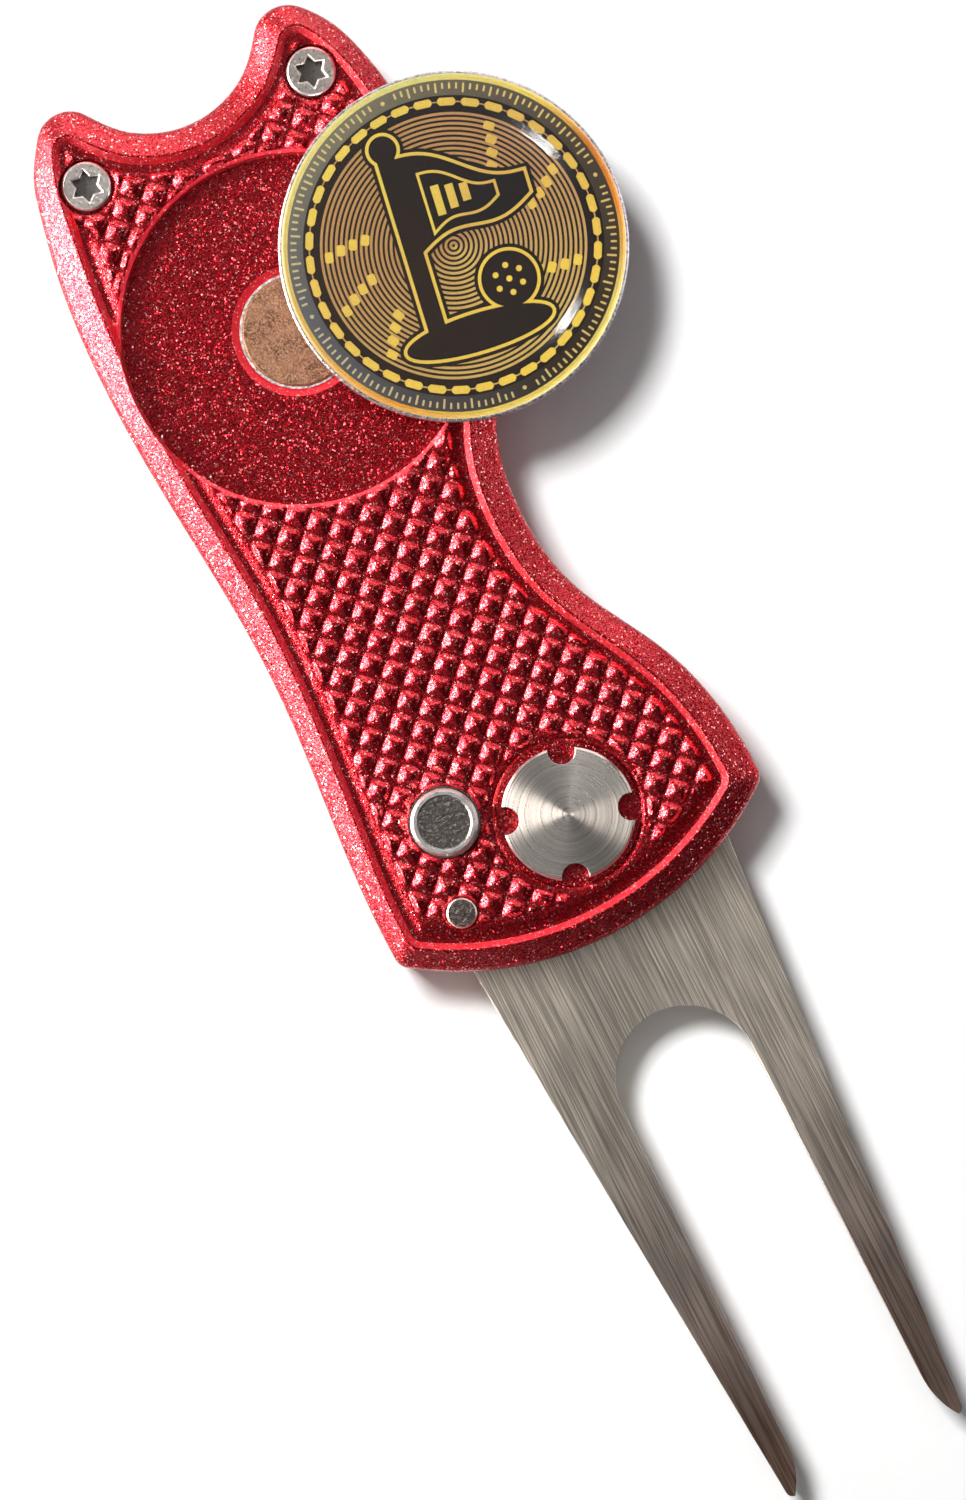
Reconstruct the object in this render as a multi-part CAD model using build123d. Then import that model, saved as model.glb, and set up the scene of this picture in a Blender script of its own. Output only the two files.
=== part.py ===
from build123d import *
import math
import os

os.makedirs("parts", exist_ok=True)

# Folding divot repair tool with a ball marker. It lies on its back: +Z is up out of the front face,
# the fork points along -Y when open, and the origin is on the pivot axis in the resting plane.

# ---- heights of the handle -------------------------------------------------------------------
SPLIT_Z = 4.2            # where the back shell meets the front shell
RIM_Z = 9.0              # ridge of the front rim
PANEL_Z = 8.2            # floor of the sunk grip panel
GRIP_Z = 8.85            # tops of the grip's pyramids, which other parts stand level with
BACK_PANEL_Z = 0.5       # ceiling of the recess in the back face
CAVITY_LOW_Z = 3.05      # fork cavity, between the shells
CAVITY_HIGH_Z = 5.35

# ---- bevels ----------------------------------------------------------------------------------
FRONT_BEVEL_Z = 7.95     # where the front's slope starts, above its rounded outer edge
CREST = 0.15             # width of the front rim's ridge
WALL_LEAN = 0.2          # how far the panel's wall leans to each side of the rim line
BACK_BEVEL = 1.2
CORNER_R = 1.2           # the two bottom corners
WALL = 1.45              # left wall beside the fork cavity

# ---- fork ------------------------------------------------------------------------------------
FORK_Z = 3.2
FORK_T = 2.0
FORK_X = -0.8            # the fork's centre line
FORK_HALF = 10.33        # half width where it leaves the handle
FORK_MOUTH_Y = -8.0
FORK_TAPER = 4.31        # degrees a side
FORK_TIP_Y = -51.45
SLOT_HALF = 5.25
SLOT_Y = -21.0           # centre of the slot's round top
SLOT_TAPER = 0.43        # degrees a side
TANG_R = 6.1
SHOULDER_Y = -4.12       # rests against the stop pin
FOLD_ANGLE = 188.0
SWING_R = 52.5           # cavity radius that the prongs sweep

# ---- pivot -----------------------------------------------------------------------------------
DISC_R = 4.8
DISC_NOTCH_R = 1.0
DISC_NOTCH_AT = 4.55     # distance of a notch's centre from the axis
DISC_NOTCH_ANGLES = (70, 160, 250, 340)
DISC_Z = 7.87
COUNTERBORE_Z = 7.85
COUNTERBORE_R = 5.2
SHANK_R = 1.5
BARREL_R = 2.15
BARREL_LOW_Z = 1.3
BARREL_HIGH_Z = 7.8
WASHER_R = 4.6
WASHER_Z = 2.87

# ---- springs ---------------------------------------------------------------------------------
TORSION_R = 3.4
TORSION_WIRE = 0.55
TORSION_PITCH = 0.6
TORSION_TURNS = 2
TORSION_LOW_Z = 5.68
SPRING_POCKET_R = 4.3
SPRING_POCKET_Z = 7.2
RETURN_R = 1.15
RETURN_WIRE = 0.3
RETURN_TURNS = 6

# ---- release button --------------------------------------------------------------------------
BUTTON = (-8.2, 3.43)
BUTTON_R = 2.44
BUTTON_TOP_Z = 9.8
BUTTON_HOLE_R = 2.6
FLANGE_R = 2.95
FLANGE_LOW_Z = 6.55
FLANGE_HIGH_Z = 7.12
FLANGE_SEAT_Z = 7.2
STEM_LOW_Z = 2.4
STEM_BORE_R = 1.6
STEM_BORE_Z = 4.6
BUTTON_WELL_Z = 0.9

# ---- stop pin and screws ---------------------------------------------------------------------
PIN = (-10.0, -2.93)
PIN_R = 1.1
SCREWS = {"left": (-10.7, 55.56), "right": (7.35, 55.7)}
SCREW_R = 1.0
SCREW_HEAD_R = 1.76
SCREW_SEAT_Z = 7.35
SCREW_TOP_Z = 8.6
SCREW_LOW_Z = 1.4

# ---- ball marker and its pocket --------------------------------------------------------------
POCKET = (-1.8, 39.75)
POCKET_R = 12.6
POCKET_Z = 7.1
MAGNET_R = 4.0
MAGNET_LOW_Z = 5.95
MAGNET_TOP_Z = 6.9
MAGNET_BORE_R = 4.2
MARKER = (10.8, 39.8)    # resting half off the pocket, held by the magnet's edge
MARKER_R = 12.5
MARKER_Z = 9.05
BLANK_T = 1.0
PRINT_T = 0.06
DOME_T = 0.75


def disc(x, y, radius, low, high):
    """A plain cylinder between two heights."""
    return Pos(x, y, low) * Cylinder(radius, high - low, align=(Align.CENTER, Align.CENTER, Align.MIN))


def turned(x, y, profile):
    """A solid of revolution about the vertical through (x, y), from (radius, height) points."""
    face = Plane.XZ * make_face(Polyline(*profile, close=True))
    return Pos(x, y, 0) * revolve(face, Axis.Z)


def slab(face, low, high):
    return extrude(Pos(0, 0, low) * face, high - low)


def polar(radius, degrees):
    return (radius * math.cos(math.radians(degrees)), radius * math.sin(math.radians(degrees)))


def on_circle(centre, radius, degrees):
    dx, dy = polar(radius, degrees)
    return (centre[0] + dx, centre[1] + dy)


def toward(centre, other, radius):
    """The point at a radius from a centre, in the direction of another point."""
    return on_circle(centre, radius, math.degrees(math.atan2(other[1] - centre[1], other[0] - centre[0])))


def swallow_outline(left, right, ears, notch, notch_r, bottom_y, start_angle, end_angle):
    """An outline as (its edges from the left corner over the head to the right corner, its bottom arc).

    The ears are arcs about their centres, as large as meets the notch's arc smoothly.
    """
    left_ear, right_ear = ears
    left_r = math.dist(left_ear, notch) - notch_r
    right_r = math.dist(right_ear, notch) - notch_r
    left_end = on_circle(left_ear, left_r, start_angle)
    right_start = on_circle(right_ear, right_r, end_angle)
    notch_start = toward(left_ear, notch, left_r)
    notch_end = toward(right_ear, notch, right_r)
    over_head = [
        Spline(*left, left_end),
        ThreePointArc(left_end, on_circle(left_ear, left_r, (start_angle + 30) / 2), notch_start),
        ThreePointArc(notch_start, (notch[0], notch[1] - notch_r), notch_end),
        ThreePointArc(notch_end, on_circle(right_ear, right_r, (end_angle + 150) / 2), right_start),
        Spline(right_start, *right),
    ]
    return over_head, ThreePointArc(right[-1], (notch[0], bottom_y), left[0])


HANDLE = swallow_outline(
    left=[
        (-15.75, -4.37), (-15.8, 0), (-15.55, 5), (-14.7, 17), (-14.85, 23.5), (-15.6, 32.5),
        (-16.05, 41), (-15.6, 50), (-14.1, 57.2), (-13.35, 59.1),
    ],
    right=[
        (9.85, 59.1), (11.2, 56), (12.5, 48), (12.5, 39), (10.1, 31), (7.9, 27.1), (6.7, 20),
        (7.75, 14.5), (11.25, 7.9), (13.3, 1.3), (13.6, -1.6), (13.6, -3.87),
    ],
    ears=((-10.4, 58.88), (6.96, 58.585)),
    notch=(-1.7, 64.06),
    notch_r=7.7,
    bottom_y=-9.15,
    start_angle=150,
    end_angle=40,
)
RIM_LINE = swallow_outline(
    left=[
        (-14.1, -3.35), (-14.1, 0), (-13.75, 5), (-12.85, 17), (-12.85, 24), (-13.6, 33),
        (-13.9, 40), (-13.3, 49.5), (-12.6, 55), (-12.1, 57.4),
    ],
    right=[
        (9.2, 56.5), (9.9, 54), (10.5, 48), (10.4, 39), (8.2, 32), (5.75, 27.75), (4.4, 21),
        (5.3, 15), (9.2, 7.1), (10.9, 1.5), (11.15, -0.8), (11.2, -2.95),
    ],
    ears=((-10.75, 58.3), (7.3, 57.9)),
    notch=(-1.7, 64.06),
    notch_r=9.86,
    bottom_y=-7.1,
    start_angle=160,
    end_angle=30,
)


def section(outline, inset, z=0.0):
    """The outline shrunk evenly: one smooth curve over the head and one arc below."""
    over_head, bottom = outline
    centre = bottom.arc_center
    radius = bottom.radius - inset
    points = []
    for edge in over_head:
        steps = max(7, round(edge.length / 2.8))
        for i in range(steps + 1):
            here = edge @ (i / steps)
            along = edge % (i / steps)
            points.append((here.X + along.Y * inset, here.Y - along.X * inset))
        points.pop()
    end = over_head[-1] @ 1
    points.append((end.X - inset, end.Y))
    for i in (0, -1):
        x = points[i][0]
        points[i] = (x, centre.Y - math.sqrt(radius**2 - (x - centre.X) ** 2))
    lower = ThreePointArc(points[-1], (centre.X, centre.Y - radius), points[0])
    face = make_face([Spline(*points), lower])
    return Pos(0, 0, z) * fillet(face.vertices(), max(CORNER_R - inset, 0.3))


def sections(outline, levels):
    return [section(outline, inset, z).faces()[0] for inset, z in levels]


def stack(outline, levels):
    """A solid whose sections are the outline shrunk by each inset at its height, as (inset, height)."""
    return loft(sections(outline, levels), ruled=True)


def cavity():
    """The space the fork folds into: open at the right side and the bottom."""
    swing = Circle(SWING_R)
    left_wall = section(HANDLE, WALL) & (Pos(0, 30, 0) * Rectangle(80, 62))
    mouth = Pos(FORK_X - FORK_HALF - 0.55 + 40, 0, 0) * Rectangle(80, 110)
    return swing & (left_wall + mouth)


def star(radius, inner, points=6):
    corners = []
    for i in range(2 * points):
        corners.append(polar(radius if i % 2 == 0 else inner, 180 / points * i + 15))
    return make_face(Polyline(*corners, close=True))


def front_shell():
    sides = [(0, SPLIT_Z), (0, FRONT_BEVEL_Z - 0.5), (0.1, FRONT_BEVEL_Z - 0.22), (0.3, FRONT_BEVEL_Z)]
    ridge = [(-WALL_LEAN - CREST, RIM_Z)]
    body = loft(sections(HANDLE, sides) + sections(RIM_LINE, ridge), ruled=True)
    body -= stack(RIM_LINE, [(WALL_LEAN, PANEL_Z), (-WALL_LEAN, RIM_Z), (-WALL_LEAN, RIM_Z + 1)])
    body -= slab(cavity(), SPLIT_Z - 1, CAVITY_HIGH_Z)
    body -= turned(*POCKET, [
        (0, POCKET_Z), (POCKET_R, POCKET_Z), (POCKET_R, PANEL_Z), (POCKET_R + 0.35, RIM_Z + 1),
        (0, RIM_Z + 1),
    ])
    body -= turned(*POCKET, [
        (0, MAGNET_LOW_Z - 0.05), (MAGNET_BORE_R, MAGNET_LOW_Z - 0.05), (MAGNET_BORE_R, POCKET_Z - 0.55),
        (MAGNET_BORE_R + 0.55, POCKET_Z), (MAGNET_BORE_R + 0.55, POCKET_Z + 1), (0, POCKET_Z + 1),
    ])
    body -= disc(*BUTTON, BUTTON_HOLE_R, 0, RIM_Z + 1)
    body -= disc(*BUTTON, FLANGE_R + 0.15, 0, FLANGE_SEAT_Z)
    body -= disc(*PIN, PIN_R + 0.05, 0, RIM_Z + 1)
    body -= turned(0, 0, [
        (0, COUNTERBORE_Z), (COUNTERBORE_R, COUNTERBORE_Z), (COUNTERBORE_R, PANEL_Z - 0.15),
        (COUNTERBORE_R + 0.15, PANEL_Z), (COUNTERBORE_R + 0.15, RIM_Z + 1), (0, RIM_Z + 1),
    ])
    body -= disc(0, 0, BARREL_R + 0.1, 0, RIM_Z)
    body -= disc(0, 0, SPRING_POCKET_R, 0, SPRING_POCKET_Z)
    body -= Rot(0, 0, 120) * Pos(SPRING_POCKET_R, 0, SPRING_POCKET_Z - 0.5) * Box(2.6, 0.9, 1)
    for centre in SCREWS.values():
        body -= disc(*centre, SCREW_R + 0.12, 0, RIM_Z)
        body -= disc(*centre, SCREW_HEAD_R + 0.24, SCREW_SEAT_Z, RIM_Z + 1)
    return body


def back_shell():
    body = stack(HANDLE, [(0, SPLIT_Z), (0, BACK_BEVEL), (BACK_BEVEL / 2, 0.4), (BACK_BEVEL, 0)])
    recess = stack(RIM_LINE, [(WALL_LEAN, BACK_PANEL_Z), (-WALL_LEAN, 0), (-WALL_LEAN, -1)])
    recess -= disc(0, 0, COUNTERBORE_R + 0.6, -2, 2)
    recess -= disc(*POCKET, 10, -2, 2)
    body -= recess
    body -= slab(cavity(), CAVITY_LOW_Z, SPLIT_Z + 1)
    body -= disc(0, 0, BARREL_R + 0.03, BARREL_LOW_Z - 0.05, SPLIT_Z)
    body -= disc(0, 0, WASHER_R + 0.15, WASHER_Z - 0.02, SPLIT_Z)
    body -= disc(*BUTTON, BUTTON_HOLE_R, BUTTON_WELL_Z, SPLIT_Z)
    body -= disc(*PIN, PIN_R + 0.05, SCREW_LOW_Z, SPLIT_Z + 1)
    for centre in SCREWS.values():
        body -= disc(*centre, SCREW_R + 0.02, SCREW_LOW_Z - 0.2, SPLIT_Z + 1)
    return body


def fork_half_width(y):
    return FORK_HALF + (y - FORK_MOUTH_Y) * math.tan(math.radians(FORK_TAPER))


def slot_half_width(y):
    return SLOT_HALF + (SLOT_Y - y) * math.tan(math.radians(SLOT_TAPER))


def prong_outline(side):
    """One prong as (outer edge, tip, inner edge), mirrored by side."""
    outer_y = FORK_TIP_Y + 0.5
    inner_y = FORK_TIP_Y + 3.4
    outer = (FORK_X + side * fork_half_width(outer_y), outer_y)
    tip = (outer[0] - side * 0.5, FORK_TIP_Y)
    inner = (FORK_X + side * slot_half_width(inner_y), inner_y)
    return outer, tip, inner


def fork_blank():
    """The fork's flat outline below the shoulder line, with its two prongs."""
    shoulder = fork_half_width(SHOULDER_Y)
    left_outer, left_tip, left_inner = prong_outline(-1)
    right_outer, right_tip, right_inner = prong_outline(1)
    slot_left = (FORK_X - SLOT_HALF, SLOT_Y)
    slot_right = (FORK_X + SLOT_HALF, SLOT_Y)
    tip_bend = 0.15
    edges = [
        Line((FORK_X + shoulder, SHOULDER_Y), (FORK_X - shoulder, SHOULDER_Y)),
        Line((FORK_X - shoulder, SHOULDER_Y), left_outer),
        ThreePointArc(left_outer, (left_outer[0] + tip_bend, FORK_TIP_Y + tip_bend), left_tip),
        ThreePointArc(left_tip, (left_inner[0] - 0.45, FORK_TIP_Y + 1.25), left_inner),
        Line(left_inner, slot_left),
        ThreePointArc(slot_left, (FORK_X, SLOT_Y + SLOT_HALF), slot_right),
        Line(slot_right, right_inner),
        ThreePointArc(right_inner, (right_inner[0] + 0.45, FORK_TIP_Y + 1.25), right_tip),
        ThreePointArc(right_tip, (right_outer[0] - tip_bend, FORK_TIP_Y + tip_bend), right_outer),
        Line(right_outer, (FORK_X + shoulder, SHOULDER_Y)),
    ]
    return make_face(edges)


def fork():
    reach = math.hypot(*BUTTON)
    button_angle = math.degrees(math.atan2(BUTTON[1], BUTTON[0]))
    folded_at = button_angle - FOLD_ANGLE
    gap = BUTTON_R + 0.18
    path_inner = reach - gap
    path_outer = reach + gap
    face = fork_blank() + Circle(TANG_R)
    track = Circle(path_outer) - Circle(path_inner)
    wedge = make_face(Polyline((0, 0), polar(60, folded_at), polar(60, folded_at + 60), polar(60, 90), close=True))
    face -= track & wedge
    face -= Pos(*polar(reach, folded_at)) * Circle(gap)
    body = slab(face, FORK_Z, FORK_Z + FORK_T)
    body -= disc(0, 0, BARREL_R + 0.05, 0, RIM_Z)
    body -= disc(*polar(TORSION_R, 20), TORSION_WIRE / 2 + 0.06, FORK_Z + 0.8, RIM_Z)
    return body


def pivot_disc():
    body = turned(0, 0, [
        (0, DISC_Z), (DISC_R, DISC_Z), (DISC_R, DISC_Z + 1.05), (DISC_R - 0.15, DISC_Z + 1.2),
        (0.5, DISC_Z + 1.5), (0, DISC_Z + 1.5),
    ])
    for angle in DISC_NOTCH_ANGLES:
        body -= disc(*polar(DISC_NOTCH_AT, angle), DISC_NOTCH_R, 0, RIM_Z + 1)
        mouth = Pos(DISC_NOTCH_AT + 1, 0, DISC_Z) * Box(2, 2 * DISC_NOTCH_R, 6)
        body -= Rot(0, 0, angle) * mouth
    return body + disc(0, 0, SHANK_R, BARREL_LOW_Z + 1.2, DISC_Z + 0.5)


def pivot_barrel():
    body = disc(0, 0, BARREL_R, BARREL_LOW_Z, BARREL_HIGH_Z)
    return body - disc(0, 0, SHANK_R + 0.02, BARREL_LOW_Z + 0.8, RIM_Z)


def pivot_washer():
    body = disc(0, 0, WASHER_R, WASHER_Z, FORK_Z - 0.03)
    return body - disc(0, 0, BARREL_R + 0.1, 0, SPLIT_Z)


def coil(radius, wire, pitch, turns):
    path = Helix(pitch=pitch, height=pitch * turns, radius=radius)
    section = Plane(origin=path @ 0, z_dir=path % 0) * Circle(wire / 2)
    return sweep(section, path=path)


def torsion_spring():
    """Turns round the barrel, with one leg down into the fork and one out into the front shell."""
    body = Rot(0, 0, 20) * Pos(0, 0, TORSION_LOW_Z) * coil(TORSION_R, TORSION_WIRE, TORSION_PITCH, TORSION_TURNS)
    leg_x, leg_y = polar(TORSION_R, 20)
    leg = disc(leg_x, leg_y, TORSION_WIRE / 2, FORK_Z + 0.9, TORSION_LOW_Z + 0.1)
    top_z = TORSION_LOW_Z + TORSION_PITCH * (TORSION_TURNS - 0.72)
    arm = Rot(0, 0, 120) * Pos(TORSION_R - 0.1, 0, top_z) * Rot(0, 90, 0) * Cylinder(
        TORSION_WIRE / 2, 1.9, align=(Align.CENTER, Align.CENTER, Align.MIN))
    return body + leg + arm


def button_spring():
    height = STEM_BORE_Z - BUTTON_WELL_Z - RETURN_WIRE - 0.06
    spring = coil(RETURN_R, RETURN_WIRE, height / RETURN_TURNS, RETURN_TURNS)
    return Pos(*BUTTON, BUTTON_WELL_Z + RETURN_WIRE / 2 + 0.03) * spring


def release_button():
    return turned(*BUTTON, [
        (0, STEM_BORE_Z), (STEM_BORE_R, STEM_BORE_Z), (STEM_BORE_R, STEM_LOW_Z), (BUTTON_R, STEM_LOW_Z),
        (BUTTON_R, CAVITY_HIGH_Z), (1.9, CAVITY_HIGH_Z + 0.1), (1.9, FLANGE_LOW_Z), (FLANGE_R, FLANGE_LOW_Z),
        (FLANGE_R, FLANGE_HIGH_Z), (BUTTON_R, FLANGE_HIGH_Z), (BUTTON_R, BUTTON_TOP_Z - 0.25),
        (BUTTON_R - 0.2, BUTTON_TOP_Z), (1.98, BUTTON_TOP_Z), (1.9, BUTTON_TOP_Z - 0.12),
        (0, BUTTON_TOP_Z - 0.12),
    ])


def stop_pin():
    top = GRIP_Z
    return turned(*PIN, [
        (0, SCREW_LOW_Z + 0.1), (PIN_R, SCREW_LOW_Z + 0.1), (PIN_R, top - 0.1), (PIN_R - 0.1, top), (0, top),
    ])


def shell_screw(centre):
    body = turned(*centre, [
        (0, SCREW_LOW_Z), (SCREW_R - 0.25, SCREW_LOW_Z), (SCREW_R, SCREW_LOW_Z + 0.3), (SCREW_R, SCREW_SEAT_Z),
        (SCREW_HEAD_R, SCREW_SEAT_Z + 0.02), (SCREW_HEAD_R, SCREW_TOP_Z - 0.12),
        (SCREW_HEAD_R - 0.12, SCREW_TOP_Z), (0, SCREW_TOP_Z),
    ])
    mouth = loft([Pos(0, 0, SCREW_TOP_Z - 0.12) * star(1.15, 0.72), Pos(0, 0, SCREW_TOP_Z) * star(1.3, 0.84)], ruled=True)
    return body - Pos(*centre, 0) * (slab(star(1.15, 0.72), SCREW_TOP_Z - 0.85, RIM_Z) + mouth)


def marker_magnet():
    return turned(*POCKET, [
        (0, MAGNET_LOW_Z), (MAGNET_R, MAGNET_LOW_Z), (MAGNET_R, MAGNET_TOP_Z - 0.1),
        (MAGNET_R - 0.1, MAGNET_TOP_Z), (0, MAGNET_TOP_Z),
    ])


def magnet_glue():
    outer = disc(*POCKET, MAGNET_BORE_R - 0.01, MAGNET_LOW_Z, POCKET_Z - 0.42)
    return outer - disc(*POCKET, MAGNET_R + 0.01, 0, RIM_Z)


def marker_blank():
    top = MARKER_Z + BLANK_T
    return turned(*MARKER, [
        (0, MARKER_Z), (MARKER_R - 0.2, MARKER_Z), (MARKER_R, MARKER_Z + 0.2), (MARKER_R, top - 0.1),
        (MARKER_R - 0.1, top), (0, top),
    ])


def marker_print():
    low = MARKER_Z + BLANK_T
    return disc(*MARKER, MARKER_R - 0.2, low, low + PRINT_T)


def marker_dome():
    """The poured coating: nearly flat, falling away towards a rounded edge."""
    low = MARKER_Z + BLANK_T + PRINT_T
    edge = MARKER_R - 0.22
    profile = [(0, low), (edge, low), (edge, low + 0.2)]
    for i in range(1, 5):
        dx, dy = polar(0.22, 90 / 4 * i)
        profile.append((edge - 0.22 + dx, low + 0.2 + dy))
    for i in range(1, 17):
        r = (edge - 0.22) * (1 - (i / 16) ** 1.5)
        profile.append((r, low + 0.42 + (DOME_T - 0.42) * (1 - (r / (edge - 0.22)) ** 7)))
    return turned(*MARKER, profile)


nodes = {
    "front_shell": front_shell(),
    "back_shell": back_shell(),
    "fork": fork(),
    "pivot_disc": pivot_disc(),
    "pivot_barrel": pivot_barrel(),
    "pivot_washer": pivot_washer(),
    "torsion_spring": torsion_spring(),
    "release_button": release_button(),
    "button_spring": button_spring(),
    "stop_pin": stop_pin(),
    "marker_magnet": marker_magnet(),
    "magnet_glue": magnet_glue(),
    "marker_blank": marker_blank(),
    "marker_print": marker_print(),
    "marker_dome": marker_dome(),
}
for side, centre in SCREWS.items():
    nodes["shell_screw_" + side] = shell_screw(centre)
for name, solid in nodes.items():
    export_step(solid, f"parts/{name}.step")
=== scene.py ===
import math

import bmesh
import bpy
import numpy as np
from mathutils import Matrix, Vector
from mathutils.geometry import delaunay_2d_cdt


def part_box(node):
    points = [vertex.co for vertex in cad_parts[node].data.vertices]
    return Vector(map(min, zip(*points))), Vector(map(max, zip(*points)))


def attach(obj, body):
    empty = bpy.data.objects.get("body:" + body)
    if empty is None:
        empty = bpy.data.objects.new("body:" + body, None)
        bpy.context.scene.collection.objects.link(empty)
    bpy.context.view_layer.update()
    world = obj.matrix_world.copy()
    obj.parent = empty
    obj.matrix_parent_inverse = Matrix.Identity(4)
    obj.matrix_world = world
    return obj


# Looks for the folding divot repair tool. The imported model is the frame: it lies on its back, +Z is up
# out of the front face, the fork points along -Y, and the origin is on the pivot axis.

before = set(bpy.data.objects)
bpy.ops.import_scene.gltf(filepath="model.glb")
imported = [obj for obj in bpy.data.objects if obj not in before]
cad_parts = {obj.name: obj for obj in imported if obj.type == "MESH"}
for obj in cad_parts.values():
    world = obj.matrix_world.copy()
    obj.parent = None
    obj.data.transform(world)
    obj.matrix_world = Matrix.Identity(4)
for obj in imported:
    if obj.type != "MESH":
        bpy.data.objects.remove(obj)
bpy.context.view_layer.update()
MM = 0.001
PANEL_Z = 8.2 * MM                     # floor of the front's sunk grip panel
BACK_PANEL_Z = 0.5 * MM                # and of the back's

# ---- view and light --------------------------------------------------------------------------
CAMERA_TURN = math.radians(-26.64)     # the picture's up is this far round from the tool's axis
CAMERA_HEIGHT = 330 * MM
CAMERA_LENS = 107.9                    # in mm, on a sensor 36 mm wide
CAMERA_AT = (-3.41 * MM, 6.81 * MM)    # the point under the camera, at the middle of the picture


def centre(node):
    low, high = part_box(node)
    return (low + high) / 2


# ---- materials -------------------------------------------------------------------------------
class Finish:
    """A Principled material under construction, with short calls for the nodes behind it."""

    def __init__(self, name, **uniform):
        self.material = bpy.data.materials.new(name)
        self.material.use_nodes = True
        self.tree = self.material.node_tree
        self.shader = self.tree.nodes["Principled BSDF"]
        for key, value in uniform.items():
            self.shader.inputs[key.replace("_", " ")].default_value = value
        self.place = self.node("TexCoord").outputs["Object"]

    def node(self, kind, inputs=None, **settings):
        made = self.tree.nodes.new("ShaderNode" + kind)
        for key, value in settings.items():
            setattr(made, key, value)
        for key, value in (inputs or {}).items():
            self.put(made.inputs[key], value)
        return made

    def put(self, socket, value):
        if isinstance(value, bpy.types.NodeSocket):
            self.tree.links.new(value, socket)
        else:
            socket.default_value = value

    def set(self, **inputs):
        for key, value in inputs.items():
            self.put(self.shader.inputs[key.replace("_", " ")], value)

    def maths(self, operation, a, b=0.0, clamp=False):
        return self.node("Math", {0: a, 1: b}, operation=operation, use_clamp=clamp).outputs[0]

    def fit(self, value, low, high, to_low=0.0, to_high=1.0, smooth=True):
        """value, from low to high, as to_low to to_high."""
        kind = "SMOOTHSTEP" if smooth else "LINEAR"
        ins = {"Value": value, "From Min": low, "From Max": high, "To Min": to_low, "To Max": to_high}
        return self.node("MapRange", ins, interpolation_type=kind).outputs["Result"]

    def between(self, value, start, full, fade, end):
        """1 where value is from full to fade, falling to 0 at start and end."""
        return self.maths("MULTIPLY", self.fit(value, start, full), self.fit(value, end, fade))

    def stretched(self, scale, origin=(0, 0, 0)):
        ins = {"Vector": self.place, "Scale": scale, "Location": origin}
        return self.node("Mapping", ins).outputs["Vector"]

    def noise(self, size, detail=2.0, place=None, roughness=0.5):
        """Noise with features about size metres across, as a value about 0.5."""
        ins = {
            "Vector": place or self.place, "Scale": 1 / size, "Detail": detail, "Roughness": roughness,
        }
        return self.node("TexNoise", ins).outputs["Fac"]

    def cells(self, size, place=None, output="Color"):
        ins = {"Vector": place or self.place, "Scale": 1 / size}
        return self.node("TexVoronoi", ins).outputs[output]

    def split(self, vector):
        return self.node("SeparateXYZ", {"Vector": vector}).outputs

    def ramp(self, value, *stops):
        made = self.node("ValToRGB", {"Fac": value})
        steps = made.color_ramp.elements
        while len(steps) < len(stops):
            steps.new(0.5)
        for step, (at, colour) in zip(steps, stops):
            step.position = at
            step.color = (*colour, 1.0)
        return made.outputs["Color"]

    def mix(self, share, a, b, blend="MIX"):
        made = self.node("Mix", data_type="RGBA", blend_type=blend)
        self.put(made.inputs[0], share)
        for socket, value in ((made.inputs[6], a), (made.inputs[7], b)):
            self.put(socket, value if isinstance(value, bpy.types.NodeSocket) else (*value, 1.0))
        return made.outputs[2]

    def polar(self, middle):
        """(distance from the vertical through middle, angle about it from -pi to pi)."""
        x, y, _ = self.split(self.stretched((1, 1, 0), (-middle.x, -middle.y, 0)))
        squares = self.maths("ADD", self.maths("MULTIPLY", x, x), self.maths("MULTIPLY", y, y))
        reach = self.maths("SQRT", squares)
        return reach, self.maths("ARCTAN2", y, x)

    def vector(self, operation, *values):
        """A vector sum of sockets, tuples or, for a scale, a number."""
        ins = {i: value for i, value in enumerate(values)}
        if operation == "SCALE":
            ins = {0: values[0], "Scale": values[1]}
        return self.node("VectorMath", ins, operation=operation).outputs[0]

    def flaked(self, normal, size, tilt):
        """The normal turned at random in each cell, mostly a little and in a few by up to tilt."""
        chance = self.cells(size)
        away = self.vector("SUBTRACT", chance, (0.5, 0.5, 0.5))
        strength = self.maths("POWER", self.split(chance)[2], 5.0)
        turn = self.vector("SCALE", away, self.maths("MULTIPLY", strength, 2 * tilt))
        return self.vector("NORMALIZE", self.vector("ADD", normal, turn))

    def worn_edges(self, width):
        """1 along edges, over about that width, and 0 on open ground."""
        rounded = self.node("Bevel", {"Radius": width}, samples=4).outputs[0]
        true = self.node("NewGeometry").outputs["Normal"]
        match = self.node("VectorMath", {0: rounded, 1: true}, operation="DOT_PRODUCT").outputs["Value"]
        return self.fit(match, 0.995, 0.90)

    def relief(self, *layers, round_edges=None, flakes=None):
        """Bumps the surface by each (value, depth in metres), over edges rounded by round_edges and
        flakes given as (size, tilt)."""
        normal = self.node("NewGeometry").outputs["Normal"]
        if round_edges:
            normal = self.node("Bevel", {"Radius": round_edges}, samples=4).outputs[0]
        if flakes:
            normal = self.flaked(normal, *flakes)
        for value, depth in layers:
            ins = {"Height": value, "Distance": depth, "Strength": 1.0, "Normal": normal}
            normal = self.node("Bump", ins).outputs[0]
        self.put(self.shader.inputs["Normal"], normal)
        self.put(self.shader.inputs["Coat Normal"], normal)


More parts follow.
